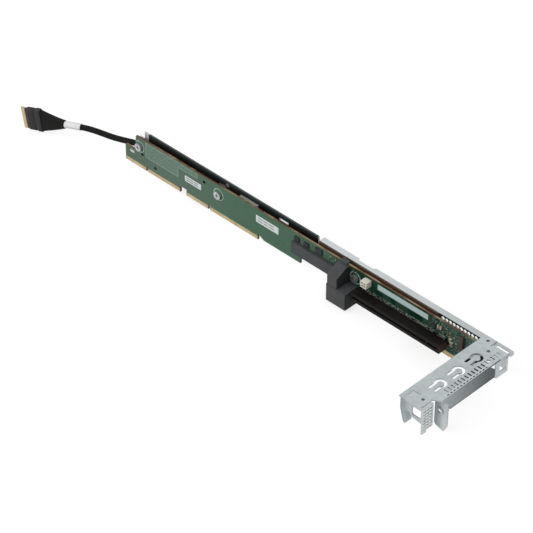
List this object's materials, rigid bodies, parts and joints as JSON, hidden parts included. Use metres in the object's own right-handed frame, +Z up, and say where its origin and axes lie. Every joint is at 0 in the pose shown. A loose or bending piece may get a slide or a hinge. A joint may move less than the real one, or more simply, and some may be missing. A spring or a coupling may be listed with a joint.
{
  "type": "pcie_riser_card",
  "caption": "Server riser card on a folded side rail, with a long card slot, a perforated rear bracket and a short cable ending in a flat plug.",
  "frame": {"origin": "middle of the wide key notch of the main gold edge, on the board's front face, at the bottom of the gold edge", "axes": "X along the board towards the rear bracket, Y behind the board, Z up from the gold edge"},
  "size_m": [0.4985, 0.0955, 0.0377],
  "materials": {
    "board": "satin solder mask over glass fibre",
    "gold": "thin gold plate",
    "screw_metal": "nickel-plated steel",
    "zinc_sheet": "galvanised sheet",
    "black_film": "black polycarbonate film",
    "grey_pad": "light grey foam",
    "black_plastic": "black moulded plastic",
    "grey_plastic": "dark grey moulded plastic",
    "tinned_contact": "tin-plated contact",
    "ivory_plastic": "ivory nylon",
    "label_white": "blank white label",
    "chip_black": "epoxy chip body",
    "capacitor_tan": "tan capacitor body",
    "brown_part": "brown moulded body",
    "cable_sleeve": "black cable sleeve",
    "card_tan": "bare glass-fibre board",
    "white_wrap": "white wrap"
  },
  "bodies": {
    "root": {"riser_board": "board", "main_edge_contacts": "gold", "second_edge_contacts": "gold", "board_screws": "screw_metal", "board_standoffs": "screw_metal", "side_rail": "zinc_sheet", "insulator_film": "black_film", "gap_pad": "grey_pad", "rear_bracket": "zinc_sheet", "slot_housing": "black_plastic", "slot_contacts": "tinned_contact", "guide_block": "grey_plastic", "power_connector": "ivory_plastic", "power_pins": "tinned_contact", "left_label": "label_white", "middle_label": "label_white", "right_label": "label_white", "board_chips": "chip_black", "board_capacitors": "capacitor_tan", "tall_component": "brown_part", "cable_receptacle": "black_plastic", "near_plug_shell": "black_plastic", "near_plug_boot": "black_plastic", "far_plug_shell": "black_plastic", "far_plug_boot": "black_plastic", "paddle_card": "card_tan", "paddle_contacts": "gold", "held_cable": "cable_sleeve", "free_cable": "cable_sleeve", "cable_wrap": "white_wrap"}
  },
  "joints": []
}
